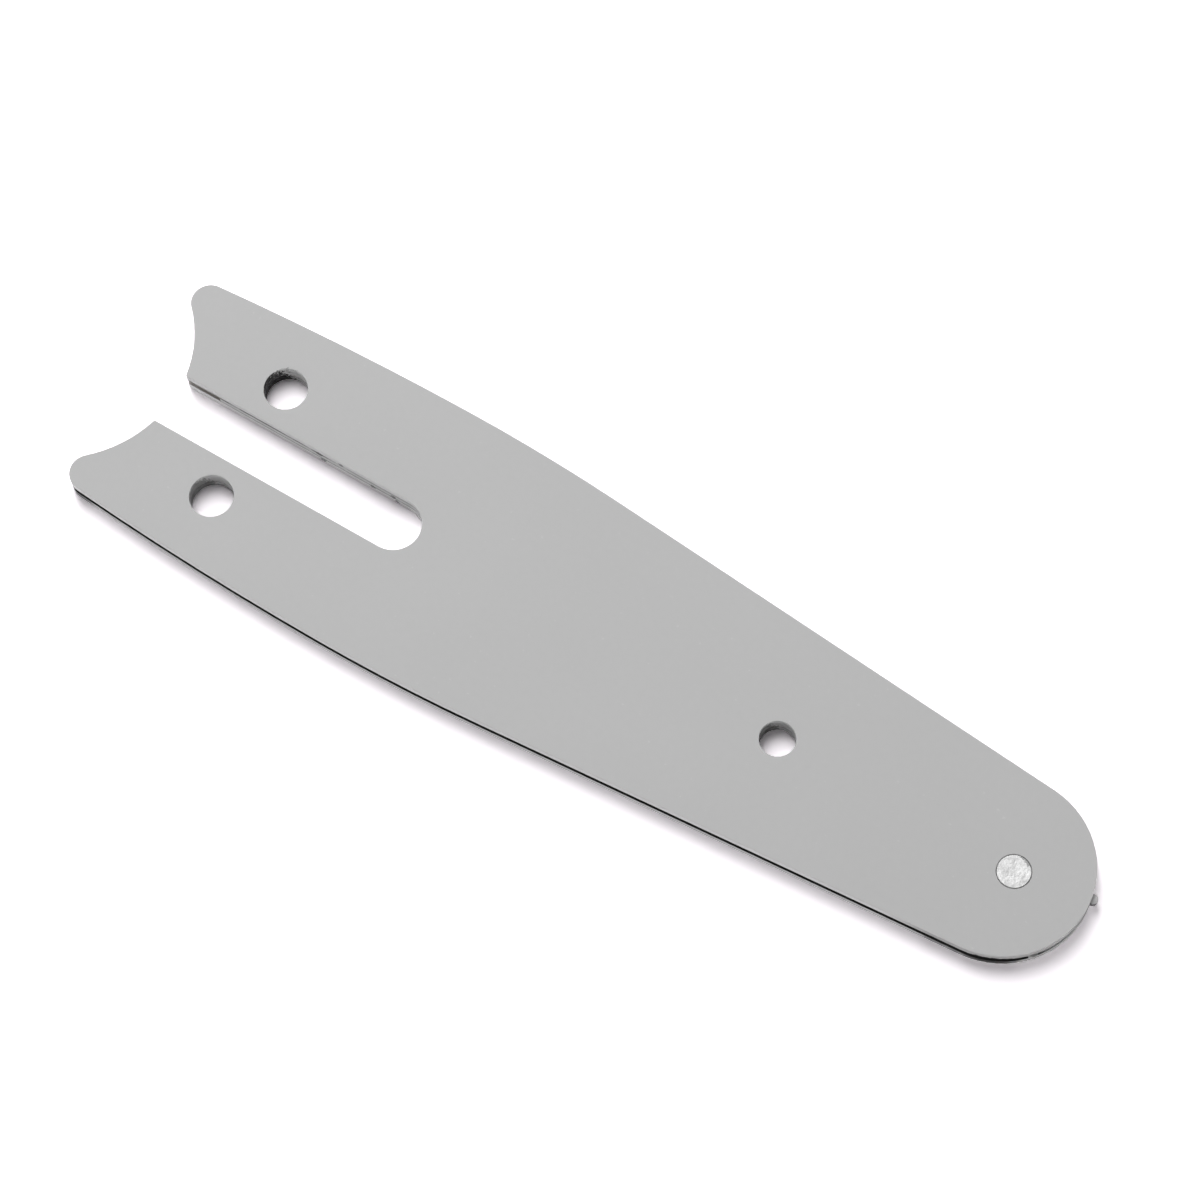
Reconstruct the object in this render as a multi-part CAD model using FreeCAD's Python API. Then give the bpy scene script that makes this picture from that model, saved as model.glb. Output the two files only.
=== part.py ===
import FreeCAD, Part
import math
import os

# A sprocket-nose guide bar for a small chainsaw, lying flat, in millimetres.
# +X runs from the tail to the nose, +Y to the left, +Z up.
# The origin is on the slot's centre line, midway between the two tensioner holes,
# in the plane of the lower face, because a saw locates the bar from there.

# Layers
side_plate_thickness = 1.2
groove_width = 1.1
groove_depth = 5.3
corner_rounding = 0.35
edge_break = 0.07

# Plan shape of the side plates
rivet_x = 121.2
nose_radius = 12.65
nose_centre_setback = 1.95
core_margin = 1.7
widest_x = 24.4
shoulder_radius = 298.0
back_radius = 532.0
tail_corner_radius = 2.7
recess_centre_x = -31.0
recess_radius = 18.2

# Slot and holes, which go through all three layers
slot_width = 7.8
slot_end_x = 23.95
tension_hole_spacing = 18.8
tension_hole_diameter = 6.2
nose_hole_diameter = 5.0
nose_hole_setback = 36.1

# Rivet, with both ends flared into countersinks and ground flush
rivet_shank_diameter = 4.0
rivet_end_diameter = 4.62
rivet_end_rim = 0.2
rivet_end_gap = 0.04

# Roller bearing around the rivet
race_outer_diameter = 6.6
roller_diameter = 1.06
roller_radial_clearance = 0.02
roller_end_clearance = 0.1
roller_spacing_gap = 0.08

# Nose sprocket
tooth_count = 6
first_tooth_degrees = 12.7
tooth_tip_radius = 11.6
tooth_tip_width = 1.4
sprocket_side_clearance = 0.05
sprocket_tip_clearance = 0.6

# The widest part of the bar leaves the core its margin between a tensioner hole and the groove
greatest_width = tension_hole_spacing + tension_hole_diameter + 2 * (core_margin + groove_depth)

# Heights and radii that follow from the sizes above
core_bottom = side_plate_thickness
core_top = core_bottom + groove_width
bar_thickness = core_top + side_plate_thickness
slot_half_width = slot_width / 2
rivet_shank_radius = rivet_shank_diameter / 2
rivet_end_radius = rivet_end_diameter / 2
race_radius = race_outer_diameter / 2
roller_radius = roller_diameter / 2
roller_circle_radius = race_radius + roller_radial_clearance + roller_radius
sprocket_bore_radius = roller_circle_radius + roller_radius + roller_radial_clearance
nose_centre_x = rivet_x - nose_centre_setback
nose_hole_x = rivet_x - nose_hole_setback

# How far a cutting tool runs past what it cuts, and how near counts as the same place
overrun = 1.0
same_place = 0.001
smooth_angle = math.radians(2)


def at_angle(centre, radius, angle):
    """Return the point of a circle at an angle in radians."""
    return centre + FreeCAD.Vector(radius * math.cos(angle), radius * math.sin(angle), 0)


def heading(start, end):
    """Return the direction from one point to another, in radians."""
    return math.atan2(end.y - start.y, end.x - start.x)


def arc_about(centre, radius, start_angle, end_angle):
    """Return the arc of a circle between two angles, by way of the angle halfway."""
    start = at_angle(centre, radius, start_angle)
    middle = at_angle(centre, radius, (start_angle + end_angle) / 2)
    end = at_angle(centre, radius, end_angle)
    return Part.Arc(start, middle, end).toShape()


def corner_centre(back_centre, back_reach, recess_centre, recess_reach):
    """Return the upper point that lies at the given distances from two centres."""
    span = recess_centre.distanceToPoint(back_centre)
    cosine = (back_reach ** 2 + span ** 2 - recess_reach ** 2) / (2 * back_reach * span)
    towards_recess = heading(back_centre, recess_centre)
    return at_angle(back_centre, back_reach, towards_recess - math.acos(cosine))


def flank_edges(inset):
    """Return the edges of the +Y side, from the nose arc's end to the recess arc's end."""
    nose_centre = FreeCAD.Vector(nose_centre_x, 0, 0)
    shoulder_centre = FreeCAD.Vector(widest_x, greatest_width / 2 - shoulder_radius, 0)
    back_centre = FreeCAD.Vector(widest_x, greatest_width / 2 - back_radius, 0)
    recess_centre = FreeCAD.Vector(recess_centre_x, 0, 0)

    # The straight taper touches the nose circle and the shoulder circle
    centre_span = nose_centre.distanceToPoint(shoulder_centre)
    swing = math.acos((nose_radius - shoulder_radius) / centre_span)
    taper = heading(nose_centre, shoulder_centre) - swing + 2 * math.pi
    taper_start = at_angle(nose_centre, nose_radius - inset, taper)
    taper_end = at_angle(shoulder_centre, shoulder_radius - inset, taper)

    # The tail corner touches the back arc from inside and the recess arc from outside
    corner_radius = max(tail_corner_radius - inset, 0)
    back_reach = back_radius - inset - corner_radius
    recess_reach = recess_radius + inset + corner_radius
    corner = corner_centre(back_centre, back_reach, recess_centre, recess_reach)
    back_end = heading(back_centre, corner)
    recess_end = heading(recess_centre, corner)

    edges = [Part.LineSegment(taper_start, taper_end).toShape()]
    edges.append(arc_about(shoulder_centre, shoulder_radius - inset, taper, math.pi / 2))
    edges.append(arc_about(back_centre, back_radius - inset, math.pi / 2, back_end))
    if corner_radius > 0:
        edges.append(arc_about(corner, corner_radius, back_end, recess_end + math.pi))
    return edges, taper, recess_end


def bar_outline(inset):
    """Return the bar's plan face, with its edges moved in by the inset."""
    upper, taper, recess_end = flank_edges(inset)
    lower = [edge.mirror(FreeCAD.Vector(0, 0, 0), FreeCAD.Vector(0, 1, 0)) for edge in upper]
    nose_centre = FreeCAD.Vector(nose_centre_x, 0, 0)
    recess_centre = FreeCAD.Vector(recess_centre_x, 0, 0)
    nose = arc_about(nose_centre, nose_radius - inset, -taper, taper)
    recess = arc_about(recess_centre, recess_radius + inset, -recess_end, recess_end)
    ordered = Part.__sortEdges__(upper + lower + [nose, recess])
    return Part.Face(Part.Wire(ordered))


def upright_cylinder(x, y, radius, bottom, top):
    """Return a cylinder standing on Z between two heights."""
    return Part.makeCylinder(radius, top - bottom, FreeCAD.Vector(x, y, bottom))


def slot_tool():
    """Return the tool that cuts the open slot, from the recess to its round end."""
    start = FreeCAD.Vector(recess_centre_x, -slot_half_width, -overrun)
    length = slot_end_x - recess_centre_x
    height = bar_thickness + 2 * overrun
    straight = Part.makeBox(length, slot_width, height, start)
    end = upright_cylinder(slot_end_x, 0, slot_half_width, -overrun, bar_thickness + overrun)
    return straight.fuse(end)


def through_hole_tools():
    """Return the tools for the two tensioner holes and the nose hole."""
    top = bar_thickness + overrun
    tension_radius = tension_hole_diameter / 2
    tools = [upright_cylinder(nose_hole_x, 0, nose_hole_diameter / 2, -overrun, top)]
    for side in (1, -1):
        y = side * tension_hole_spacing / 2
        tools.append(upright_cylinder(0, y, tension_radius, -overrun, top))
    return tools


def is_corner(solid, edge):
    """Tell whether an edge stands upright where two walls meet at an angle."""
    if edge.BoundBox.ZLength < same_place or edge.BoundBox.XLength > same_place:
        return False
    walls = solid.ancestorsOfType(edge, Part.Face)
    middle = edge.valueAt((edge.FirstParameter + edge.LastParameter) / 2)
    normals = [wall.normalAt(*wall.Surface.parameter(middle)) for wall in walls]
    return len(normals) == 2 and normals[0].getAngle(normals[1]) > smooth_angle


def round_corners(solid, radius):
    """Round every upright corner of a stamped plate."""
    corners = [edge for edge in solid.Edges if is_corner(solid, edge)]
    return solid.makeFillet(radius, corners)


def break_edges(solid, heights):
    """Take the sharp off every edge that lies flat at one of the heights."""
    edges = []
    for edge in solid.Edges:
        flat = edge.BoundBox.ZLength < same_place
        height = edge.BoundBox.Center.z
        if flat and any(abs(height - wanted) < same_place for wanted in heights):
            edges.append(edge)
    return solid.makeChamfer(edge_break, edges).Solids[0]


def bar_layer(inset, bottom, thickness):
    """Return one layer of the bar with its slot and holes, before its edges are rounded."""
    face = bar_outline(inset)
    face.translate(FreeCAD.Vector(0, 0, bottom))
    layer = face.extrude(FreeCAD.Vector(0, 0, thickness))
    return layer.cut([slot_tool()] + through_hole_tools()).Solids[0]


def flared_end(face_height, inward, extra_radius):
    """Return one flared end of the rivet: a short straight rim at the face, then a cone."""
    upright = FreeCAD.Vector(0, 0, inward)
    wide = rivet_end_radius + extra_radius
    narrow = rivet_shank_radius + extra_radius
    face_centre = FreeCAD.Vector(rivet_x, 0, face_height)
    rim_centre = FreeCAD.Vector(rivet_x, 0, face_height + inward * rivet_end_rim)
    rim = Part.makeCylinder(wide, rivet_end_rim, face_centre, upright)
    cone = Part.makeCone(wide, narrow, wide - narrow, rim_centre, upright)
    return rim.fuse(cone)


def side_plate(bottom, face_height, inward):
    """Return a side plate with the rivet's hole and countersink in it."""
    blank = round_corners(bar_layer(0, bottom, side_plate_thickness), corner_rounding)
    plate = break_edges(blank, [face_height])
    top = bottom + side_plate_thickness
    hole = upright_cylinder(rivet_x, 0, rivet_shank_radius, bottom - overrun, top + overrun)
    return plate.cut([hole, flared_end(face_height, inward, rivet_end_gap)]).Solids[0]


def core_plate():
    """Return the core, set in to leave the chain groove, with the sprocket's pocket."""
    core = bar_layer(groove_depth, core_bottom, groove_width)
    pocket_radius = tooth_tip_radius + sprocket_tip_clearance
    low = core_bottom - overrun
    pocket = upright_cylinder(rivet_x, 0, pocket_radius, low, core_top + overrun)
    blank = round_corners(core.cut(pocket).Solids[0], corner_rounding)
    return break_edges(blank, [core_bottom, core_top])


def nose_rivet():
    """Return the rivet, with both flared ends flush with the bar's faces."""
    shank = upright_cylinder(rivet_x, 0, rivet_shank_radius, 0, bar_thickness)
    ends = [flared_end(0, 1, 0), flared_end(bar_thickness, -1, 0)]
    rivet = shank.fuse(ends).removeSplitter()
    return break_edges(rivet, [0, bar_thickness])


def bearing_race():
    """Return the ring that the rivet clamps between the side plates."""
    ring = upright_cylinder(rivet_x, 0, race_radius, core_bottom, core_top)
    bore = upright_cylinder(rivet_x, 0, rivet_shank_radius, core_bottom, core_top)
    return ring.cut(bore)


def bearing_rollers():
    """Return a full ring of rollers, as many as fit with the gap between them."""
    pitch_angle = math.asin((roller_radius + roller_spacing_gap / 2) / roller_circle_radius)
    count = int(math.pi / pitch_angle)
    centre = FreeCAD.Vector(rivet_x, 0, 0)
    low = core_bottom + roller_end_clearance
    high = core_top - roller_end_clearance
    rollers = []
    for number in range(count):
        place = at_angle(centre, roller_circle_radius, 2 * math.pi * number / count)
        rollers.append(upright_cylinder(place.x, place.y, roller_radius, low, high))
    return Part.makeCompound(rollers)


def nose_sprocket():
    """Return the sprocket: teeth with round tips, round gullets and a bore for the rollers."""
    centre = FreeCAD.Vector(rivet_x, 0, 0)
    pitch = 2 * math.pi / tooth_count
    tip_radius = tooth_tip_width / 2
    tip_circle_radius = tooth_tip_radius - tip_radius
    gullet_radius = 2 * tip_circle_radius * math.sin(pitch / 4) - tip_radius

    # The gullets are centred on the tips' circle, and each touches the two tips beside it
    lean = math.pi / 2 + pitch / 4
    edges = []
    for number in range(tooth_count):
        tooth = math.radians(first_tooth_degrees) + pitch * number
        gullet = tooth + pitch / 2
        tip_centre = at_angle(centre, tip_circle_radius, tooth)
        gullet_centre = at_angle(centre, tip_circle_radius, gullet)
        edges.append(arc_about(tip_centre, tip_radius, tooth - lean, tooth + lean))
        turned = gullet + 2 * math.pi
        edges.append(arc_about(gullet_centre, gullet_radius, turned - lean, gullet + lean))

    low = core_bottom + sprocket_side_clearance
    high = core_top - sprocket_side_clearance
    face = Part.Face(Part.Wire(Part.__sortEdges__(edges)))
    face.translate(FreeCAD.Vector(0, 0, low))
    blank = face.extrude(FreeCAD.Vector(0, 0, high - low))
    bore = upright_cylinder(rivet_x, 0, sprocket_bore_radius, low - overrun, high + overrun)
    return blank.cut(bore).Solids[0]


parts = {
    "lower_side_plate": side_plate(0, 0, 1),
    "core_plate": core_plate(),
    "upper_side_plate": side_plate(core_top, bar_thickness, -1),
    "nose_rivet": nose_rivet(),
    "bearing_race": bearing_race(),
    "bearing_rollers": bearing_rollers(),
    "nose_sprocket": nose_sprocket(),
}

os.makedirs("parts", exist_ok=True)
for name, shape in parts.items():
    shape.exportStep("parts/" + name + ".step")
    box = shape.BoundBox
    print(name, len(shape.Solids), "solid(s), valid", shape.isValid(), "volume", round(shape.Volume, 2))
    print("  x", round(box.XMin, 3), round(box.XMax, 3), "y", round(box.YMin, 3), round(box.YMax, 3))
    print("  z", round(box.ZMin, 3), round(box.ZMax, 3))
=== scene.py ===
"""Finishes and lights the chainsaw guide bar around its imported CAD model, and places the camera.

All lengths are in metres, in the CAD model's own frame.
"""

import logging
import math
from dataclasses import dataclass
from enum import Enum

import bpy
from mathutils import Matrix, Vector

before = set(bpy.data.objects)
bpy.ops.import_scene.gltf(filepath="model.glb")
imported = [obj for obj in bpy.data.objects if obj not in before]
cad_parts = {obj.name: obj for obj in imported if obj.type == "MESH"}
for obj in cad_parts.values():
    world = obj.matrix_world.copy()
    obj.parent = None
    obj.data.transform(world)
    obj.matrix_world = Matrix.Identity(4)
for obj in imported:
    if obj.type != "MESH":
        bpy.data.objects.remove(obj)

MM = 0.001
log = logging.getLogger("guide_bar")

Socket = bpy.types.NodeSocket
Colour = tuple[float, float, float]
Point = tuple[float, float, float]
Span = tuple[object, object]

# The heights where the core meets the lower plate and the upper one
LOWER_SEAM = 1.2 * MM
UPPER_SEAM = 2.3 * MM

# The slot's half round end has its centre at SLOT_END_X
SLOT_HALF_WIDTH = 3.9 * MM
SLOT_END_X = 23.95 * MM

RIVET_X = 121.2 * MM
RIVET_RADIUS = 2.31 * MM
NOSE_CENTRE_X = 119.25 * MM
NOSE_RADIUS = 12.65 * MM

# How far past a wall the mask for it reaches
WALL_MARGIN = 0.03 * MM

# Where the bare faces beside the tail's recess turn brighter: along the bar, and across it from its middle
RECESS_ALONG = (-6.0 * MM, -7.5 * MM)
RECESS_ACROSS = (12.0 * MM, 8.0 * MM)


def direction(degrees: float) -> Point:
    """Return the level direction at an angle from +X."""
    angle = math.radians(degrees)
    return (math.cos(angle), math.sin(angle), 0.0)


def grey(tone: float) -> Colour:
    """Return a neutral colour."""
    return (tone, tone, tone)


WHITE = grey(1.0)
GRIT_AND_SHADE_COLOUR = grey(0.012)
SEAM_COLOUR = grey(0.06)
NICK_COLOUR = grey(0.07)


class Layer(Enum):
    """The three stamped layers of the bar, by the names of their CAD nodes."""

    UPPER = "upper_side_plate"
    CORE = "core_plate"
    LOWER = "lower_side_plate"


class Effect(Enum):
    """The shader node groups that several finishes share, by their names."""

    PAINT_SKIN = "paint_skin"
    STEEL_GRAIN = "steel_grain"
    FACING = "facing"
    HOLE_WALL = "hole_wall"
    SLOT_WALL = "slot_wall"
    RIM_ARC = "rim_arc"
    SEAM = "seam"
    NICK = "nick"


class Wiring:
    """Adds nodes to one node tree and joins them."""

    def __init__(self, tree: bpy.types.NodeTree) -> None:
        """Keep the tree to work on."""
        self.tree = tree

    def add(self, kind: str, **settings: object) -> bpy.types.Node:
        """Add one node.

        Args:
            kind: Blender's type name of the node.
            **settings: properties of the node and their values.

        Returns:
            The new node.
        """
        node = self.tree.nodes.new(kind)
        for name, value in settings.items():
            setattr(node, name, value)
        return node

    def feed(self, socket: Socket, source: object) -> None:
        """Link a socket to another, or set its value.

        Args:
            socket: the input to feed.
            source: an output socket, a number, a vector, or a colour of three parts.
        """
        if isinstance(source, Socket):
            self.tree.links.new(source, socket)
        elif socket.type == "RGBA":
            socket.default_value = (*source, 1.0)
        else:
            socket.default_value = source

    def maths(self, operation: str, *terms: object) -> Socket:
        """Add a Math node.

        Args:
            operation: what it does, in Blender's word.
            *terms: its inputs, sockets or numbers.

        Returns:
            The node's result.
        """
        node = self.add("ShaderNodeMath", operation=operation)
        for socket, term in zip(node.inputs, terms):
            self.feed(socket, term)
        return node.outputs["Value"]

    def times(self, *factors: object) -> Socket:
        """Multiply two or more values, such as masks.

        Args:
            *factors: sockets or numbers.

        Returns:
            Their product.
        """
        product = factors[0]
        for factor in factors[1:]:
            product = self.maths("MULTIPLY", product, factor)
        return product

    def sway(self, noise: Socket, width: object) -> Socket:
        """Turn a noise from 0 to 1 into an offset round zero, whose whole range is the width."""
        return self.times(self.maths("SUBTRACT", noise, 0.5), width)

    def vector_maths(self, operation: str, *terms: object, result: str = "Vector") -> Socket:
        """Add a Vector Math node.

        Args:
            operation: what it does, in Blender's word.
            *terms: its vector inputs.
            result: the output to use, Vector or Value.

        Returns:
            The node's result.
        """
        node = self.add("ShaderNodeVectorMath", operation=operation)
        for socket, term in zip(node.inputs, terms):
            self.feed(socket, term)
        return node.outputs[result]

    def offset(self, place: Socket, centre: object, kept: Point = (1.0, 1.0, 0.0)) -> Socket:
        """Return how a place lies from a centre, along the kept axes alone."""
        return self.vector_maths("MULTIPLY", self.vector_maths("SUBTRACT", place, centre), kept)

    def length(self, vector: Socket) -> Socket:
        """Return a vector's length."""
        return self.vector_maths("LENGTH", vector, result="Value")

    def towards(self, vector: Socket, heading: object) -> Socket:
        """Return the cosine of the angle between a vector and a heading."""
        bearing = self.vector_maths("NORMALIZE", vector)
        return self.vector_maths("DOT_PRODUCT", bearing, heading, result="Value")

    def noise(self, vector: object, scale: float, detail: float = 2.0) -> Socket:
        """Add a noise texture.

        Args:
            vector: the coordinates it reads.
            scale: how many of its patches lie in a metre.
            detail: how many finer layers it has.

        Returns:
            The noise, from 0 to 1.
        """
        node = self.add("ShaderNodeTexNoise")
        self.feed(node.inputs["Vector"], vector)
        self.feed(node.inputs["Scale"], scale)
        self.feed(node.inputs["Detail"], detail)
        return node.outputs["Fac"]

    def streaks(self, place: Socket, stretch: object, detail: float = 2.0) -> Socket:
        """Add a noise with its own number of patches in a metre along each axis."""
        return self.noise(self.vector_maths("MULTIPLY", place, stretch), 1.0, detail)

    def spread(self, value: object, span: Span, onto: Span = (0.0, 1.0)) -> Socket:
        """Map a value smoothly from one span onto another.

        Args:
            value: the socket to map.
            span: where the mapping begins and ends.
            onto: what the value becomes at either end and beyond it.

        Returns:
            The mapped value.
        """
        node = self.add("ShaderNodeMapRange", interpolation_type="SMOOTHSTEP")
        numbers = (value, *span, *onto)
        for name, number in zip(("Value", "From Min", "From Max", "To Min", "To Max"), numbers):
            self.feed(node.inputs[name], number)
        return node.outputs["Result"]

    def blend(self, share: object, first: object, second: object) -> Socket:
        """Mix two colours.

        Args:
            share: how much of the second there is.
            first: a colour or a colour socket.
            second: a colour or a colour socket.

        Returns:
            The mixed colour.
        """
        node = self.add("ShaderNodeMix", data_type="RGBA", clamp_factor=True)
        self.feed(node.inputs["Factor"], share)
        self.feed(node.inputs[6], first)
        self.feed(node.inputs[7], second)
        return node.outputs[2]

    def shade(self, colour: Socket, tone: Socket, strength: object) -> Socket:
        """Lighten and darken a colour by a tone that varies round a half.

        Args:
            colour: the colour to vary.
            tone: from 0 to 1, where a half leaves the colour as it is.
            strength: how far it varies, as a share of the colour.

        Returns:
            The varied colour.
        """
        toned = self.add("ShaderNodeVectorMath", operation="SCALE")
        self.feed(toned.inputs["Vector"], colour)
        self.feed(toned.inputs["Scale"], self.maths("ADD", self.sway(tone, strength), 1.0))
        return toned.outputs["Vector"]

    def part_of(self, vector: Socket, axis: str) -> Socket:
        """Split off one component of a vector.

        Args:
            vector: the vector.
            axis: X, Y or Z.

        Returns:
            That component.
        """
        split = self.add("ShaderNodeSeparateXYZ")
        self.feed(split.inputs["Vector"], vector)
        return split.outputs[axis]

    def object_place(self) -> Socket:
        """Return the point on the surface in the bar's own frame."""
        return self.add("ShaderNodeTexCoord").outputs["Object"]

    def group(self, effect: Effect, **inputs: object) -> bpy.types.Node:
        """Place one of the shared effects.

        Args:
            effect: which effect.
            **inputs: its inputs, with underscores for the spaces in their names.

        Returns:
            The group node.
        """
        node = self.add("ShaderNodeGroup", node_tree=bpy.data.node_groups[effect.value])
        for name, source in inputs.items():
            self.feed(node.inputs[name.replace("_", " ").capitalize()], source)
        return node


@dataclass(frozen=True)
class EffectLibrary:
    """Builds each shared shader node group once.

    A scale is a number of patches in a metre, and a stretch gives one for each axis. A span is the part of
    a value's range over which a mask or a roughness changes.
    """

    blotch_scale: float = 45.0
    skin_scale: float = 900.0
    skin_share: float = 0.5
    peel_scale: float = 2600.0
    speck_scale: float = 1800.0
    speck_span: Span = (0.83, 0.87)
    speck_colour: Colour = grey(0.7)
    paint_roughness: Span = (0.52, 0.62)

    patch_scale: float = 900.0
    patch_share: float = 0.6
    steel_roughness: Span = (0.34, 0.5)

    roughness_span: Span = (0.3, 0.7)
    steep: float = 0.3

    run_stretch: Point = (500.0, 500.0, 9000.0)
    run_height: float = 0.6 * MM
    layer_fade: float = 0.25 * MM
    grit_scale: float = 3200.0
    grit_share: float = 1.6
    grit_and_shade_span: Span = (0.46, 0.7)
    painted_shade_per_depth: float = 0.2 / MM
    scrape_stretch: Point = (900.0, 2200.0, 4500.0)
    scrape_span: Span = (0.46, 0.66)
    scraped: Span = (1.0, 0.8)

    rim_scale: float = 3000.0
    rim_fade: float = 0.06

    seam_scale: float = 900.0
    seam_waver: float = 0.16 * MM
    break_scale: float = 380.0
    break_span: Span = (0.3, 0.46)
    broken: Span = (0.3, 1.0)

    nick_scale: float = 4000.0
    nick_waver: float = 0.9 * MM

    def build(self) -> None:
        """Build all the effects."""
        self.paint_skin()
        self.steel_grain()
        self.facing()
        self.hole_wall()
        self.slot_wall()
        self.rim_arc()
        self.seam()
        self.nick()

    def start(
        self, effect: Effect, inputs: dict[str, str], outputs: tuple[str, ...]
    ) -> tuple[Wiring, bpy.types.Node, bpy.types.Node]:
        """Start a group with its sockets.

        Args:
            effect: the effect it makes.
            inputs: each input's name and kind of socket.
            outputs: each output's name. One called Colour is a colour, and the others are numbers.

        Returns:
            The wiring, the node with the group's inputs and the one with its outputs.
        """
        tree = bpy.data.node_groups.new(effect.value, "ShaderNodeTree")
        for name, kind in inputs.items():
            tree.interface.new_socket(name, in_out="INPUT", socket_type="NodeSocket" + kind)
        for name in outputs:
            kind = "NodeSocketColor" if name == "Colour" else "NodeSocketFloat"
            tree.interface.new_socket(name, in_out="OUTPUT", socket_type=kind)
        wiring = Wiring(tree)
        return wiring, wiring.add("NodeGroupInput"), wiring.add("NodeGroupOutput")

    def paint_skin(self) -> None:
        """Baked paint: faint blotches in its tone, an orange-peel skin and a few pale specks."""
        inputs = {"Colour": "Color", "Blotches": "Float", "Specks": "Float"}
        w, given, made = self.start(Effect.PAINT_SKIN, inputs, ("Colour", "Roughness", "Height"))
        place = w.object_place()
        broad = w.noise(place, self.blotch_scale)
        fine = w.noise(place, self.skin_scale, detail=3.0)
        peel = w.noise(place, self.peel_scale)
        tone = w.maths("ADD", w.times(broad, 1.0 - self.skin_share), w.times(fine, self.skin_share))
        toned = w.shade(given.outputs["Colour"], tone, given.outputs["Blotches"])
        dots = w.spread(w.noise(place, self.speck_scale, detail=0.0), self.speck_span)
        speckled = w.blend(w.times(dots, given.outputs["Specks"]), toned, self.speck_colour)
        w.feed(made.inputs["Colour"], speckled)
        w.feed(made.inputs["Roughness"], w.spread(fine, self.roughness_span, self.paint_roughness))
        w.feed(made.inputs["Height"], w.maths("ADD", peel, w.times(fine, self.skin_share)))

    def steel_grain(self) -> None:
        """Stamped or ground steel: patches in its tone and fine scratches along one direction."""
        inputs = {"Colour": "Color", "Patches": "Float", "Stretch": "Vector"}
        w, given, made = self.start(Effect.STEEL_GRAIN, inputs, ("Colour", "Roughness", "Height"))
        place = w.object_place()
        patches = w.noise(place, self.patch_scale, detail=3.0)
        scratches = w.streaks(place, given.outputs["Stretch"], detail=3.0)
        scratch_share = 1.0 - self.patch_share
        tone = w.maths("ADD", w.times(patches, self.patch_share), w.times(scratches, scratch_share))
        w.feed(made.inputs["Colour"], w.shade(given.outputs["Colour"], tone, given.outputs["Patches"]))
        w.feed(made.inputs["Roughness"], w.spread(patches, self.roughness_span, self.steel_roughness))
        w.feed(made.inputs["Height"], w.maths("ADD", patches, scratches))

    def facing(self) -> None:
        """A mask for the steep walls, against the level faces."""
        w, _, made = self.start(Effect.FACING, {}, ("Wall",))
        rise = w.part_of(w.add("ShaderNodeNewGeometry").outputs["True Normal"], "Z")
        w.feed(made.inputs["Wall"], w.maths("LESS_THAN", w.maths("ABSOLUTE", rise), self.steep))

    def hole_wall(self) -> None:
        """Masks for the wall of a round hole, its lower layers, and grit with painted shade, heaviest on
        one side and deeper down.
        """
        inputs = {"Centre": "Vector", "Reach": "Float", "Dirty side": "Vector"}
        w, given, made = self.start(Effect.HOLE_WALL, inputs, ("Wall", "Lower", "Grit and shade", "Streaks"))
        place = w.object_place()
        height = w.part_of(place, "Z")
        outward = w.offset(place, given.outputs["Centre"])
        wall = w.maths("LESS_THAN", w.length(outward), given.outputs["Reach"])
        runs = w.streaks(place, self.run_stretch)
        ragged_height = w.maths("ADD", w.sway(runs, self.run_height), height)
        lower = w.spread(ragged_height, (UPPER_SEAM + self.layer_fade, UPPER_SEAM - self.layer_fade))
        # Painted shade: the grit mask is raised on one side of the hole, and more the deeper the wall lies
        # below the upper seam.
        side = w.towards(outward, given.outputs["Dirty side"])
        grit = w.sway(w.noise(place, self.grit_scale, detail=4.0), self.grit_share)
        depth = w.times(w.maths("SUBTRACT", UPPER_SEAM, height), self.painted_shade_per_depth)
        grit_and_shade = w.maths("ADD", w.maths("ADD", grit, side), depth)
        scraped = w.spread(w.streaks(place, self.scrape_stretch), self.scrape_span, self.scraped)
        w.feed(made.inputs["Wall"], wall)
        w.feed(made.inputs["Lower"], lower)
        w.feed(made.inputs["Grit and shade"], w.times(scraped, w.spread(grit_and_shade, self.grit_and_shade_span), wall))
        w.feed(made.inputs["Streaks"], runs)

    def slot_wall(self) -> None:
        """A mask for the slot's wall, from its open end round to the other side."""
        w, _, made = self.start(Effect.SLOT_WALL, {}, ("Wall",))
        place = w.object_place()
        past_end = w.maths("MAXIMUM", w.maths("SUBTRACT", w.part_of(place, "X"), SLOT_END_X), 0.0)
        across = w.part_of(place, "Y")
        distance = w.maths("SQRT", w.maths("ADD", w.times(past_end, past_end), w.times(across, across)))
        w.feed(made.inputs["Wall"], w.maths("LESS_THAN", distance, SLOT_HALF_WIDTH + WALL_MARGIN))

    def rim_arc(self) -> None:
        """A mask for a ragged band along part of a circle, such as a stain along a rim."""
        inputs = {"Centre": "Vector", "Middle": "Vector", "Least": "Float"}
        inputs |= {"Inner": "Float", "Outer": "Float", "Ragged": "Float"}
        w, given, made = self.start(Effect.RIM_ARC, inputs, ("Mask",))
        place = w.object_place()
        outward = w.offset(place, given.outputs["Centre"])
        waver = w.sway(w.noise(place, self.rim_scale, detail=3.0), given.outputs["Ragged"])
        distance = w.maths("ADD", w.length(outward), waver)
        beyond = w.maths("GREATER_THAN", distance, given.outputs["Inner"])
        within = w.maths("LESS_THAN", distance, given.outputs["Outer"])
        least = given.outputs["Least"]
        side = w.towards(outward, given.outputs["Middle"])
        near_middle = w.spread(side, (least, w.maths("ADD", least, self.rim_fade)))
        w.feed(made.inputs["Mask"], w.times(beyond, within, near_middle))

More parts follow.
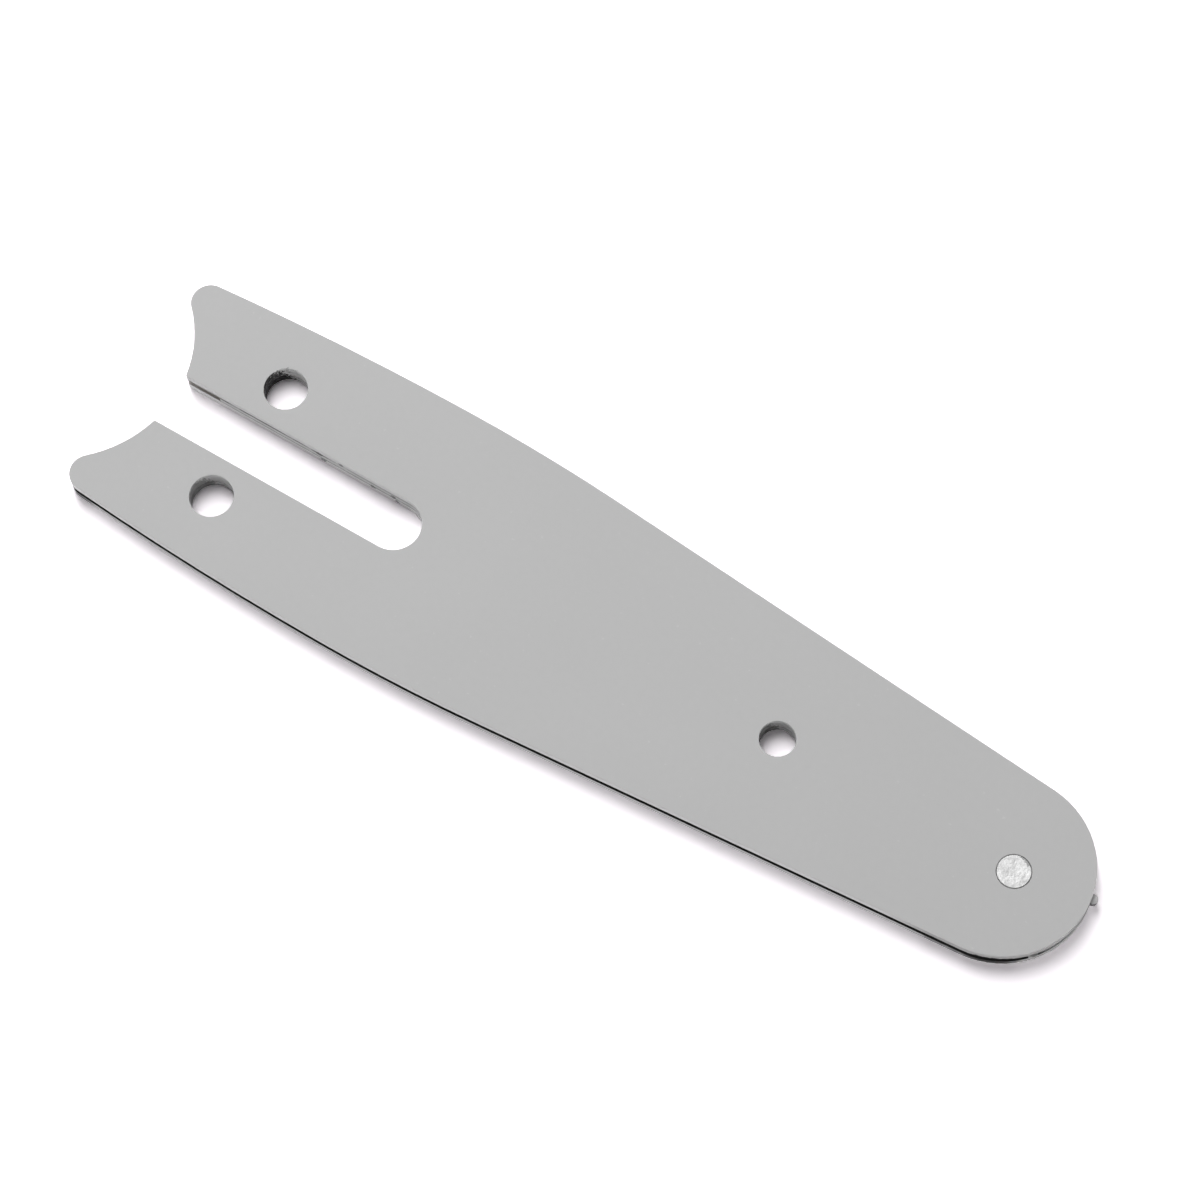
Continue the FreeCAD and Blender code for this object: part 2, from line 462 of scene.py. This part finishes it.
    def seam(self) -> None:
        """A mask for the dark line where two layers meet, broken along its length."""
        w, given, made = self.start(Effect.SEAM, {"Height": "Float", "Half width": "Float"}, ("Mask",))
        place = w.object_place()
        waver = w.sway(w.noise(place, self.seam_scale, detail=3.0), self.seam_waver)
        height = w.maths("ADD", w.part_of(place, "Z"), waver)
        above = w.maths("ABSOLUTE", w.maths("SUBTRACT", height, given.outputs["Height"]))
        near = w.maths("LESS_THAN", above, given.outputs["Half width"])
        breaks = w.spread(w.noise(place, self.break_scale, detail=3.0), self.break_span, self.broken)
        w.feed(made.inputs["Mask"], w.times(near, breaks))

    def nick(self) -> None:
        """A mask for one small ragged mark on a wall that faces across the bar."""
        w, given, made = self.start(Effect.NICK, {"Centre": "Vector", "Radius": "Float"}, ("Mask",))
        place = w.object_place()
        outward = w.offset(place, given.outputs["Centre"], kept=(1.0, 0.0, 1.0))
        waver = w.sway(w.noise(place, self.nick_scale), self.nick_waver)
        distance = w.maths("ADD", w.length(outward), waver)
        w.feed(made.inputs["Mask"], w.maths("LESS_THAN", distance, given.outputs["Radius"]))


@dataclass(frozen=True)
class RimArc:
    """A band along part of a circle round an upright axis.

    The middle and the reach to each side of it are in degrees. A reach of 180 goes all the way round.
    """

    x: float
    y: float
    inner: float
    outer: float
    middle: float
    reach: float
    ragged: float = 0.0

    def mask(self, w: Wiring) -> Socket:
        """Place the band.

        Args:
            w: the material's wiring.

        Returns:
            A mask for it.
        """
        below_any_cosine = -1.2
        band = w.group(
            Effect.RIM_ARC,
            centre=(self.x, self.y, 0.0),
            middle=direction(self.middle),
            least=math.cos(math.radians(self.reach)) if self.reach < 180.0 else below_any_cosine,
            inner=self.inner,
            outer=self.outer,
            ragged=self.ragged,
        )
        return band.outputs["Mask"]


def nose_wall(middle: float, reach: float) -> RimArc:
    """Return the stretch of the nose's wall round one bearing."""
    return RimArc(NOSE_CENTRE_X, 0.0, NOSE_RADIUS - 1.0 * MM, NOSE_RADIUS + 1.0 * MM, middle, reach)


@dataclass(frozen=True)
class Hole:
    """A round hole through all three layers, and the grit with painted shade on its wall.

    The tones are greys, the side where the grit and painted shade are heaviest is a direction in degrees
    from +X, and their strength is a share of 1.
    """

    x: float
    y: float
    radius: float
    upper_tone: float
    lower_tone: float
    dirty_side: float
    dirt: float


@dataclass(frozen=True)
class Seam:
    """A dark line between two layers on the slot's wall, and its strength before and after it fades."""

    height: float
    half_width: float
    strength: Span


@dataclass(frozen=True)
class Nick:
    """A small dark mark on the slot's wall."""

    x: float
    z: float
    radius: float


TENSION_HOLE_LEFT = Hole(
    x=0.0, y=9.4 * MM, radius=3.1 * MM, upper_tone=0.55, lower_tone=0.65, dirty_side=185.0, dirt=1.0
)
TENSION_HOLE_RIGHT = Hole(
    x=0.0, y=-9.4 * MM, radius=3.1 * MM, upper_tone=0.51, lower_tone=0.62, dirty_side=192.0, dirt=0.55
)
NOSE_HOLE = Hole(
    x=85.1 * MM, y=0.0, radius=2.5 * MM, upper_tone=0.47, lower_tone=0.6, dirty_side=190.0, dirt=0.62
)
HOLES = (TENSION_HOLE_LEFT, TENSION_HOLE_RIGHT, NOSE_HOLE)
HOLE_STREAKS = 1.1

SEAMS = (Seam(UPPER_SEAM, 0.2 * MM, (0.9, 0.45)), Seam(LOWER_SEAM, 0.14 * MM, (0.4, 0.4)))
SEAMS_FADE = (9.0 * MM, 11.0 * MM)

NICKS = (
    Nick(9.0 * MM, 2.2 * MM, 0.46 * MM),
    Nick(9.6 * MM, 0.9 * MM, 0.46 * MM),
    Nick(12.6 * MM, 2.5 * MM, 0.34 * MM),
    Nick(17.8 * MM, 1.1 * MM, 0.38 * MM),
    Nick(21.2 * MM, 1.5 * MM, 0.42 * MM),
    Nick(21.8 * MM, 0.5 * MM, 0.36 * MM),
)
NICK_STRENGTH = 0.7


def blank_material(name: str) -> tuple[bpy.types.Material, Wiring, bpy.types.Node]:
    """Start a material.

    Args:
        name: the finish's name.

    Returns:
        The material, its wiring and its Principled BSDF.
    """
    material = bpy.data.materials.new(name)
    material.use_nodes = True
    wiring = Wiring(material.node_tree)
    return material, wiring, material.node_tree.nodes["Principled BSDF"]


def raise_surface(w: Wiring, shader: bpy.types.Node, height: Socket, depth: float) -> None:
    """Feed a height to a shader's normal.

    Args:
        w: the material's wiring.
        shader: the Principled BSDF.
        height: the height, from 0 to about 1.
        depth: how deep a height of 1 is.
    """
    bump = w.add("ShaderNodeBump")
    w.feed(bump.inputs["Strength"], 1.0)
    w.feed(bump.inputs["Distance"], depth)
    w.feed(bump.inputs["Height"], height)
    w.feed(shader.inputs["Normal"], bump.outputs["Normal"])


def hole_walls(w: Wiring, colour: Socket) -> Socket:
    """Colour the walls of the round holes over a finish.

    Args:
        w: the material's wiring.
        colour: the finish's colour.

    Returns:
        The colour with the walls in it.
    """
    for hole in HOLES:
        around = w.group(
            Effect.HOLE_WALL,
            centre=(hole.x, hole.y, 0.0),
            reach=hole.radius + WALL_MARGIN,
            dirty_side=direction(hole.dirty_side),
        )
        wall = w.blend(around.outputs["Lower"], grey(hole.upper_tone), grey(hole.lower_tone))
        wall = w.shade(wall, around.outputs["Streaks"], HOLE_STREAKS)
        colour = w.blend(around.outputs["Wall"], colour, wall)
        # Grit with painted shade on the hole's wall, heaviest on one side and deeper down.
        colour = w.blend(w.times(around.outputs["Grit and shade"], hole.dirt), colour, GRIT_AND_SHADE_COLOUR)
    return colour


def slot_marks(w: Wiring, colour: Socket) -> Socket:
    """Draw the dark lines between the layers and the nicks over a finish, on the slot's wall.

    Args:
        w: the material's wiring.
        colour: the finish's colour.

    Returns:
        The colour with the marks in it.
    """
    wall = w.group(Effect.SLOT_WALL).outputs["Wall"]
    along = w.part_of(w.object_place(), "X")
    for seam in SEAMS:
        line = w.group(Effect.SEAM, height=seam.height, half_width=seam.half_width).outputs["Mask"]
        strength = w.spread(along, SEAMS_FADE, seam.strength)
        colour = w.blend(w.times(line, wall, strength), colour, SEAM_COLOUR)
    for nick in NICKS:
        mark = w.group(Effect.NICK, centre=(nick.x, 0.0, nick.z), radius=nick.radius).outputs["Mask"]
        colour = w.blend(w.times(mark, wall, NICK_STRENGTH), colour, NICK_COLOUR)
    return colour


def by_recess(w: Wiring) -> Socket:
    """Mask what lies between the plates beside the tail's recess.

    Args:
        w: the material's wiring.

    Returns:
        The mask.
    """
    place = w.object_place()
    near_tail = w.spread(w.part_of(place, "X"), RECESS_ALONG)
    inboard = w.spread(w.maths("ABSOLUTE", w.part_of(place, "Y")), RECESS_ACROSS)
    return w.times(near_tail, inboard)


@dataclass(frozen=True)
class PaintedNoseShade:
    """Painted shade: black on the walls beside the groove, where the bar's lower edge turns into the nose.
    """

    colour: Colour = grey(0.015)
    streaked: RimArc = nose_wall(middle=-80.0, reach=34.0)
    streaked_strength: float = 0.75
    solid: RimArc = nose_wall(middle=-68.0, reach=19.0)
    solid_strength: float = 0.95
    lowest: float = 0.35 * MM
    highest: float = UPPER_SEAM + 0.25 * MM
    waver: float = 1.2 * MM
    waver_scale: float = 1100.0
    streak_stretch: Point = (500.0, 500.0, 7000.0)
    streak_span: Span = (0.34, 0.6)

    def over(self, w: Wiring, colour: Socket, wall: Socket) -> Socket:
        """Lay the painted shade over a finish.

        Args:
            w: the material's wiring.
            colour: the finish's colour.
            wall: a mask for the steep walls.

        Returns:
            The colour with the painted shade in it.
        """
        place = w.object_place()
        waver = w.sway(w.noise(place, self.waver_scale, detail=4.0), self.waver)
        height = w.maths("ADD", w.part_of(place, "Z"), waver)
        above = w.maths("GREATER_THAN", height, self.lowest)
        below = w.maths("LESS_THAN", height, self.highest)
        between = w.times(above, below, wall)
        streaks = w.spread(w.streaks(place, self.streak_stretch, detail=3.0), self.streak_span)
        streaked = w.times(streaks, self.streaked_strength)
        for arc, strength in ((self.streaked, streaked), (self.solid, self.solid_strength)):
            colour = w.blend(w.times(between, arc.mask(w), strength), colour, self.colour)
        return colour


@dataclass(frozen=True)
class PlatePaint:
    """Light grey matt paint on the stamped plates, with grit and painted shade in the holes, and bare
    between the layers.

    A foot is the part of a wall below the core. A turn is the stretch along the bar where a tone changes.
    """

    name: str
    colour: Colour = grey(0.545)
    wall_colour: Colour = grey(0.62)
    foot_colour: Colour = grey(0.535)
    nose_wall_colour: Colour = grey(0.38)
    nose_foot_colour: Colour = grey(0.44)
    nose_turn: Span = (108.0 * MM, 116.0 * MM)
    tail_foot_colour: Colour = grey(0.19)
    tail_turn: Span = (-13.8 * MM, -15.4 * MM)
    tail_corner: float = 14.0 * MM
    slot_colour: Colour = grey(0.6)
    # Painted light: the slot's wall below the core is painted lighter than above it, for the light that the
    # narrow slot keeps off it.
    slot_foot_painted_light: Colour = grey(0.84)
    inside_colour: Colour = grey(0.03)
    inside_margin: float = 0.01 * MM
    recess_colour: Colour = (0.53, 0.505, 0.49)
    # Painted light: a pale tone on the bare faces between the layers at the nose's tip, lighter than the
    # paint, that takes away the groove's shade there.
    tip_painted_light: Colour = grey(0.69)
    tip_turn: Span = (128.8 * MM, 130.4 * MM)
    ring_colour: Colour = grey(0.05)
    ring_width: float = 0.11 * MM
    ring_ragged: float = 0.12 * MM
    ring_middle: float = -75.0
    whole_ring_strength: float = 0.45
    half_ring_strength: float = 0.6
    fringe_colour: Colour = grey(0.06)
    fringe_width: float = 0.06 * MM
    fringe_ragged: float = 1.0 * MM
    fringe_middle: float = 138.0
    fringe_reach: float = 48.0
    fringe_strength: float = 0.55
    painted_nose_shade: PaintedNoseShade = PaintedNoseShade()
    blotches: float = 0.08
    specks: float = 0.25
    skin_depth: float = 0.003 * MM
    specular_level: float = 0.1

    def material(self) -> bpy.types.Material:
        """Build the material.

        Returns:
            The material.
        """
        material, w, shader = blank_material(self.name)
        skin = w.group(Effect.PAINT_SKIN, colour=self.colour, blotches=self.blotches, specks=self.specks)
        wall = w.group(Effect.FACING).outputs["Wall"]
        above_seam = w.maths("GREATER_THAN", w.part_of(w.object_place(), "Z"), LOWER_SEAM)
        colour = w.blend(wall, skin.outputs["Colour"], self.outer_wall(w, above_seam))
        # Below the lower seam the slot's wall takes the lighter tone of painted light.
        slot = w.blend(above_seam, self.slot_foot_painted_light, self.slot_colour)
        colour = w.blend(w.group(Effect.SLOT_WALL).outputs["Wall"], colour, slot)
        colour = slot_marks(w, hole_walls(w, colour))
        # Painted shade, black and streaked, on the walls where the lower edge turns into the nose.
        colour = self.painted_nose_shade.over(w, colour, wall)
        colour = self.fringe_hole(w, self.ring_rivet(w, colour))
        w.feed(shader.inputs["Base Color"], self.bare_inside(w, colour))
        w.feed(shader.inputs["Roughness"], skin.outputs["Roughness"])
        w.feed(shader.inputs["Specular IOR Level"], self.specular_level)
        raise_surface(w, shader, skin.outputs["Height"], self.skin_depth)
        return material

    def outer_wall(self, w: Wiring, above_seam: Socket) -> Socket:
        """Colour the outer walls, darker at the nose and at the foot of the tail's corners.

        Args:
            w: the material's wiring.
            above_seam: a mask for what lies above the lower seam.

        Returns:
            The walls' colour.
        """
        place = w.object_place()
        along = w.part_of(place, "X")
        at_nose = w.spread(along, self.nose_turn)
        outboard = w.maths("GREATER_THAN", w.maths("ABSOLUTE", w.part_of(place, "Y")), self.tail_corner)
        at_corner = w.times(w.spread(along, self.tail_turn), outboard)
        foot = w.blend(at_nose, self.foot_colour, self.nose_foot_colour)
        foot = w.blend(at_corner, foot, self.tail_foot_colour)
        return w.blend(above_seam, foot, w.blend(at_nose, self.wall_colour, self.nose_wall_colour))

    def ring_rivet(self, w: Wiring, colour: Socket) -> Socket:
        """Darken the paint in a thin broken ring round the rivet, most on its lower right.

        Args:
            w: the material's wiring.
            colour: the paint's colour.

        Returns:
            The colour with the ring in it.
        """
        outer = RIVET_RADIUS + self.ring_width
        for reach, strength in ((180.0, self.whole_ring_strength), (90.0, self.half_ring_strength)):
            ring = RimArc(RIVET_X, 0.0, RIVET_RADIUS, outer, self.ring_middle, reach, self.ring_ragged)
            colour = w.blend(w.times(ring.mask(w), strength), colour, self.ring_colour)
        return colour

    def fringe_hole(self, w: Wiring, colour: Socket) -> Socket:
        """Let the grit in the left tension hole spill a little over its rim.

        Args:
            w: the material's wiring.
            colour: the paint's colour.

        Returns:
            The colour with the grit in it.
        """
        hole = TENSION_HOLE_LEFT
        fringe = RimArc(
            x=hole.x,
            y=hole.y,
            inner=hole.radius,
            outer=hole.radius + self.fringe_width,
            middle=self.fringe_middle,
            reach=self.fringe_reach,
            ragged=self.fringe_ragged,
        )
        return w.blend(w.times(fringe.mask(w), self.fringe_strength), colour, self.fringe_colour)

    def bare_inside(self, w: Wiring, colour: Socket) -> Socket:
        """Leave the faces between the layers unpainted, brighter by the recess, and with painted light at
        the nose's tip that takes away the groove's shade there.

        Args:
            w: the material's wiring.
            colour: the paint's colour.

        Returns:
            The colour with the bare faces in it.
        """
        place = w.object_place()
        height, along = w.part_of(place, "Z"), w.part_of(place, "X")
        inside = w.blend(by_recess(w), self.inside_colour, self.recess_colour)
        inside = w.blend(w.spread(along, self.tip_turn), inside, self.tip_painted_light)
        above = w.maths("GREATER_THAN", height, LOWER_SEAM - self.inside_margin)
        below = w.maths("LESS_THAN", height, UPPER_SEAM + self.inside_margin)
        return w.blend(w.times(above, below), colour, inside)


@dataclass(frozen=True)
class CorePaint:
    """The core: dark bare steel in the groove, and painted where the slot and the holes show it."""

    name: str
    steel_colour: Colour = grey(0.02)
    recess_colour: Colour = (0.42, 0.40, 0.385)
    slot_colour: Colour = grey(0.57)
    patches: float = 0.6
    stretch: Point = (900.0, 900.0, 5000.0)
    grain_depth: float = 0.01 * MM
    specular_level: float = 0.1

    def material(self) -> bpy.types.Material:
        """Build the material.

        Returns:
            The material.
        """
        material, w, shader = blank_material(self.name)
        grain = w.group(
            Effect.STEEL_GRAIN, colour=self.steel_colour, patches=self.patches, stretch=self.stretch
        )
        colour = w.blend(by_recess(w), grain.outputs["Colour"], self.recess_colour)
        colour = w.blend(w.group(Effect.SLOT_WALL).outputs["Wall"], colour, self.slot_colour)
        w.feed(shader.inputs["Base Color"], slot_marks(w, hole_walls(w, colour)))
        w.feed(shader.inputs["Roughness"], grain.outputs["Roughness"])
        w.feed(shader.inputs["Specular IOR Level"], self.specular_level)
        raise_surface(w, shader, grain.outputs["Height"], self.grain_depth)
        return material


@dataclass(frozen=True)
class Steel:
    """Bare steel of one colour, darker on its walls, with its patches and the lie of its scratches."""

    name: str
    colour: Colour
    wall_colour: Colour
    patches: float
    stretch: Point
    metallic: float
    grain_depth: float

    def material(self) -> bpy.types.Material:
        """Build the material.

        Returns:
            The material.
        """
        material, w, shader = blank_material(self.name)
        face, side = self.grain(w, self.colour), self.grain(w, self.wall_colour)
        steep = w.group(Effect.FACING).outputs["Wall"]
        wall = self.wall(w, side.outputs["Colour"])
        w.feed(shader.inputs["Base Color"], w.blend(steep, face.outputs["Colour"], wall))
        w.feed(shader.inputs["Roughness"], face.outputs["Roughness"])
        w.feed(shader.inputs["Metallic"], self.metallic)
        raise_surface(w, shader, face.outputs["Height"], self.grain_depth)
        return material

    def grain(self, w: Wiring, colour: Colour) -> bpy.types.Node:
        """Place the steel's grain in one colour."""
        return w.group(Effect.STEEL_GRAIN, colour=colour, patches=self.patches, stretch=self.stretch)

    def wall(self, w: Wiring, colour: Socket) -> Socket:
        """Return the walls' colour as it is."""
        return colour


@dataclass(frozen=True)
class SprocketSteel(Steel):
    """The sprocket's steel, with painted shade on its walls that leaves the end of one tooth light."""

    unshaded_tooth_end: RimArc
    unshaded_tooth_colour: Colour

    def wall(self, w: Wiring, colour: Socket) -> Socket:
        """Leave the one tooth's end light over the walls' painted shade."""
        return w.blend(self.unshaded_tooth_end.mask(w), colour, self.unshaded_tooth_colour)


@dataclass(frozen=True)
class HammeredSteel:
    """The rivet's bright steel, dented by the hammer and chipped on its rim."""

    name: str
    colour: Colour = grey(0.58)
    patches: float = 0.8
    stretch: Point = (900.0, 900.0, 900.0)
    metallic: float = 0.3
    roughness: float = 0.5
    dent_scale: float = 2200.0
    dent_depth: float = 0.1 * MM
    chip_colour: Colour = grey(0.3)
    chip_strength: float = 0.8
    chips: RimArc = RimArc(
        x=RIVET_X,
        y=0.0,
        inner=RIVET_RADIUS - 0.28 * MM,
        outer=RIVET_RADIUS + 1.0 * MM,
        middle=71.0,
        reach=30.0,
        ragged=1.3 * MM,
    )

    def material(self) -> bpy.types.Material:
        """Build the material.

        Returns:
            The material.
        """
        material, w, shader = blank_material(self.name)
        grain = w.group(Effect.STEEL_GRAIN, colour=self.colour, patches=self.patches, stretch=self.stretch)
        chips = self.chips.mask(w)
        colour = w.blend(w.times(chips, self.chip_strength), grain.outputs["Colour"], self.chip_colour)
        w.feed(shader.inputs["Base Color"], colour)
        w.feed(shader.inputs["Roughness"], self.roughness)
        w.feed(shader.inputs["Metallic"], w.maths("MULTIPLY_ADD", chips, -self.metallic, self.metallic))
        raise_surface(w, shader, w.noise(w.object_place(), self.dent_scale), self.dent_depth)
        return material


# The sprocket's dark walls are painted shade, the dark outline where the teeth go under the plates; the one
# visible tooth's end keeps a light tone.
SPROCKET_STEEL = SprocketSteel(
    name="sprocket_steel",
    colour=grey(0.38),
    wall_colour=grey(0.09),
    patches=1.4,
    stretch=(1500.0, 1500.0, 4000.0),
    metallic=0.2,
    grain_depth=0.03 * MM,
    unshaded_tooth_end=RimArc(RIVET_X, 0.0, 9.0 * MM, 13.0 * MM, middle=-47.3, reach=22.0, ragged=1.0 * MM),
    unshaded_tooth_colour=grey(0.4),
)
BEARING_STEEL = Steel(
    name="bearing_steel",
    colour=grey(0.6),
    wall_colour=grey(0.5),
    patches=0.2,
    stretch=(400.0, 400.0, 6000.0),
    metallic=0.9,
    grain_depth=0.004 * MM,
)


def dress(node: str, material: bpy.types.Material) -> None:
    """Give a CAD node its finish.

    Args:
        node: the CAD node's name.
        material: the finish for all of it.
    """
    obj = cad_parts[node]
    obj.data.materials.clear()
    obj.data.materials.append(material)
    log.info("%s wears %s", node, material.name)


@dataclass(frozen=True)
class LaminatedBar:
    """The two painted side plates and the core between them."""

    plates: PlatePaint = PlatePaint("plate_paint")
    core: CorePaint = CorePaint("core_finish")

    def build(self) -> None:
        """Dress the three layers."""
        paint = self.plates.material()
        dress(Layer.UPPER.value, paint)
        dress(Layer.LOWER.value, paint)
        dress(Layer.CORE.value, self.core.material())


@dataclass(frozen=True)
class SprocketNose:
    """The rivet, its roller bearing and the sprocket that turns on it."""

    sprocket: SprocketSteel = SPROCKET_STEEL
    rivet: HammeredSteel = HammeredSteel("rivet_steel")
    bearing: Steel = BEARING_STEEL

    def build(self) -> None:
        """Dress the nose's pieces."""
        dress("nose_sprocket", self.sprocket.material())
        dress("nose_rivet", self.rivet.material())
        bearing = self.bearing.material()
        dress("bearing_race", bearing)
        dress("bearing_rollers", bearing)


@dataclass(frozen=True)
class PhotoCamera:
    """The camera, where the photograph was taken from.

    Angles are in degrees. The azimuth is measured from looking along +Y.
    """

    azimuth: float = 36.611
    elevation: float = 68.431
    roll: float = -5.472
    distance: float = 0.50835
    target: Point = (54.242 * MM, 4.843 * MM, 3.525 * MM)
    lens_mm: float = 112.168
    sensor_mm: float = 36.0
    nearest: float = 0.01

    def build(self) -> None:
        """Place the camera and make it the scene's own."""
        azimuth, elevation, roll = (math.radians(a) for a in (self.azimuth, self.elevation, self.roll))
        level = Vector((math.cos(azimuth), math.sin(azimuth), 0.0))
        outward = Vector((math.sin(azimuth), -math.cos(azimuth), 0.0))
        back = outward * math.cos(elevation) + Vector((0.0, 0.0, math.sin(elevation)))
        upward = back.cross(level)
        right = level * math.cos(roll) + upward * math.sin(roll)
        up = back.cross(right)
        data = bpy.data.cameras.new("photo_camera")
        data.lens = self.lens_mm
        data.sensor_width = self.sensor_mm
        data.clip_start = self.nearest
        camera = bpy.data.objects.new("photo_camera", data)
        turn = Matrix((right, up, back)).transposed().to_4x4()
        camera.matrix_world = Matrix.Translation(Vector(self.target) + back * self.distance) @ turn
        bpy.context.scene.collection.objects.link(camera)
        bpy.context.scene.camera = camera
        log.info("%s stands %.0f mm away", camera.name, self.distance / MM)


@dataclass(frozen=True)
class Studio:
    """The pale floor, the soft light and the white surroundings.

    The fade is the distance over which the floor turns plain white. The glow is the part of the sky, by its
    height, where the surroundings' light goes from its first level to its second.
    """

    floor_size: float = 6.0
    floor_height: float = -0.02 * MM
    floor_seen: Colour = (1.71, 1.635, 1.70)
    floor_colour: Colour = (0.88, 0.87, 0.88)
    fade: Span = (0.25, 0.6)
    glow: Span = (0.29, 0.45)
    glow_levels: Span = (2.0, 0.03)
    key_from: Point = (-0.40, 0.40, 1.0)
    key_aim: Point = (0.05, 0.0, 0.0)
    key_width: float = 0.5
    key_length: float = 1.14
    key_power: float = 10.25

    def build(self) -> None:
        """Build the floor, the world and the lamp."""
        self.lay_floor()
        self.light_world()
        self.hang_lamp()
        bpy.context.scene.view_settings.view_transform = "Standard"

    def seen_rays(self, w: Wiring) -> Socket:
        """Tell the rays that show a surface or its mirror image from those that light others.

        Args:
            w: the wiring of the floor or the world.

        Returns:
            1 for the rays that show a surface, 0 for the others.
        """
        path = w.add("ShaderNodeLightPath")
        seen = w.maths("MAXIMUM", path.outputs["Is Camera Ray"], path.outputs["Is Glossy Ray"])
        return w.maths("MAXIMUM", seen, path.outputs["Is Transmission Ray"])

    def mixed(self, w: Wiring, share: Socket, first: Socket, second: Socket) -> Socket:
        """Mix two shaders.

        Args:
            w: the floor's wiring.
            share: how much of the second there is.
            first: a shader.
            second: another shader.

        Returns:
            The mixed shader.
        """
        mix = w.add("ShaderNodeMixShader")
        w.feed(mix.inputs["Fac"], share)
        w.feed(mix.inputs[1], first)
        w.feed(mix.inputs[2], second)
        return mix.outputs["Shader"]

    def lay_floor(self) -> None:
        """Lay the floor a hair under the bar. Far from the bar it shows as plain white."""
        bpy.ops.mesh.primitive_plane_add(size=self.floor_size, location=(0.0, 0.0, self.floor_height))
        floor = bpy.context.object
        floor.name = "floor"
        material = bpy.data.materials.new("floor")
        material.use_nodes = True
        material.node_tree.nodes.clear()
        w = Wiring(material.node_tree)
        plain = w.add("ShaderNodeBsdfDiffuse")
        w.feed(plain.inputs["Color"], self.floor_colour)
        bright = w.add("ShaderNodeBsdfDiffuse")
        w.feed(bright.inputs["Color"], self.floor_seen)
        white = w.add("ShaderNodeEmission")
        seen = self.seen_rays(w)
        far = w.spread(w.length(w.object_place()), self.fade)
        near = self.mixed(w, seen, plain.outputs["BSDF"], bright.outputs["BSDF"])
        whole = self.mixed(w, w.times(seen, far), near, white.outputs["Emission"])
        w.feed(w.add("ShaderNodeOutputMaterial").inputs["Surface"], whole)
        floor.data.materials.append(material)
        log.info("%s is laid", floor.name)

    def light_world(self) -> None:
        """Surround the scene with a low glow that shows as white."""
        world = bpy.data.worlds.new("white_surroundings")
        world.use_nodes = True
        world.node_tree.nodes.clear()
        w = Wiring(world.node_tree)
        light = w.add("ShaderNodeBackground")
        height = w.part_of(w.add("ShaderNodeTexCoord").outputs["Generated"], "Z")
        strength = w.add("ShaderNodeMix", data_type="FLOAT")
        w.feed(strength.inputs["Factor"], self.seen_rays(w))
        w.feed(strength.inputs["A"], w.spread(height, self.glow, self.glow_levels))
        w.feed(strength.inputs["B"], 1.0)
        w.feed(light.inputs["Strength"], strength.outputs["Result"])
        w.feed(light.inputs["Color"], WHITE)
        w.feed(w.add("ShaderNodeOutputWorld").inputs["Surface"], light.outputs["Background"])
        bpy.context.scene.world = world
        log.info("%s are lit", world.name)

    def hang_lamp(self) -> None:
        """Hang the soft key lamp on the far side of the bar."""
        lamp = bpy.data.lights.new("key_softbox", "AREA")
        lamp.shape = "ELLIPSE"
        lamp.size = self.key_width
        lamp.size_y = self.key_length
        lamp.energy = self.key_power
        holder = bpy.data.objects.new("key_softbox", lamp)
        holder.location = self.key_from
        beam = Vector(self.key_aim) - Vector(self.key_from)
        holder.rotation_euler = beam.to_track_quat("-Z", "Y").to_euler()
        bpy.context.scene.collection.objects.link(holder)
        log.info("%s is hung", holder.name)


def main() -> None:
    """Build the looks in order."""
    logging.basicConfig(level=logging.INFO, format="%(name)s: %(message)s")
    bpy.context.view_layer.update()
    EffectLibrary().build()
    LaminatedBar().build()
    SprocketNose().build()
    Studio().build()
    PhotoCamera().build()


if __name__ == "__main__":
    main()
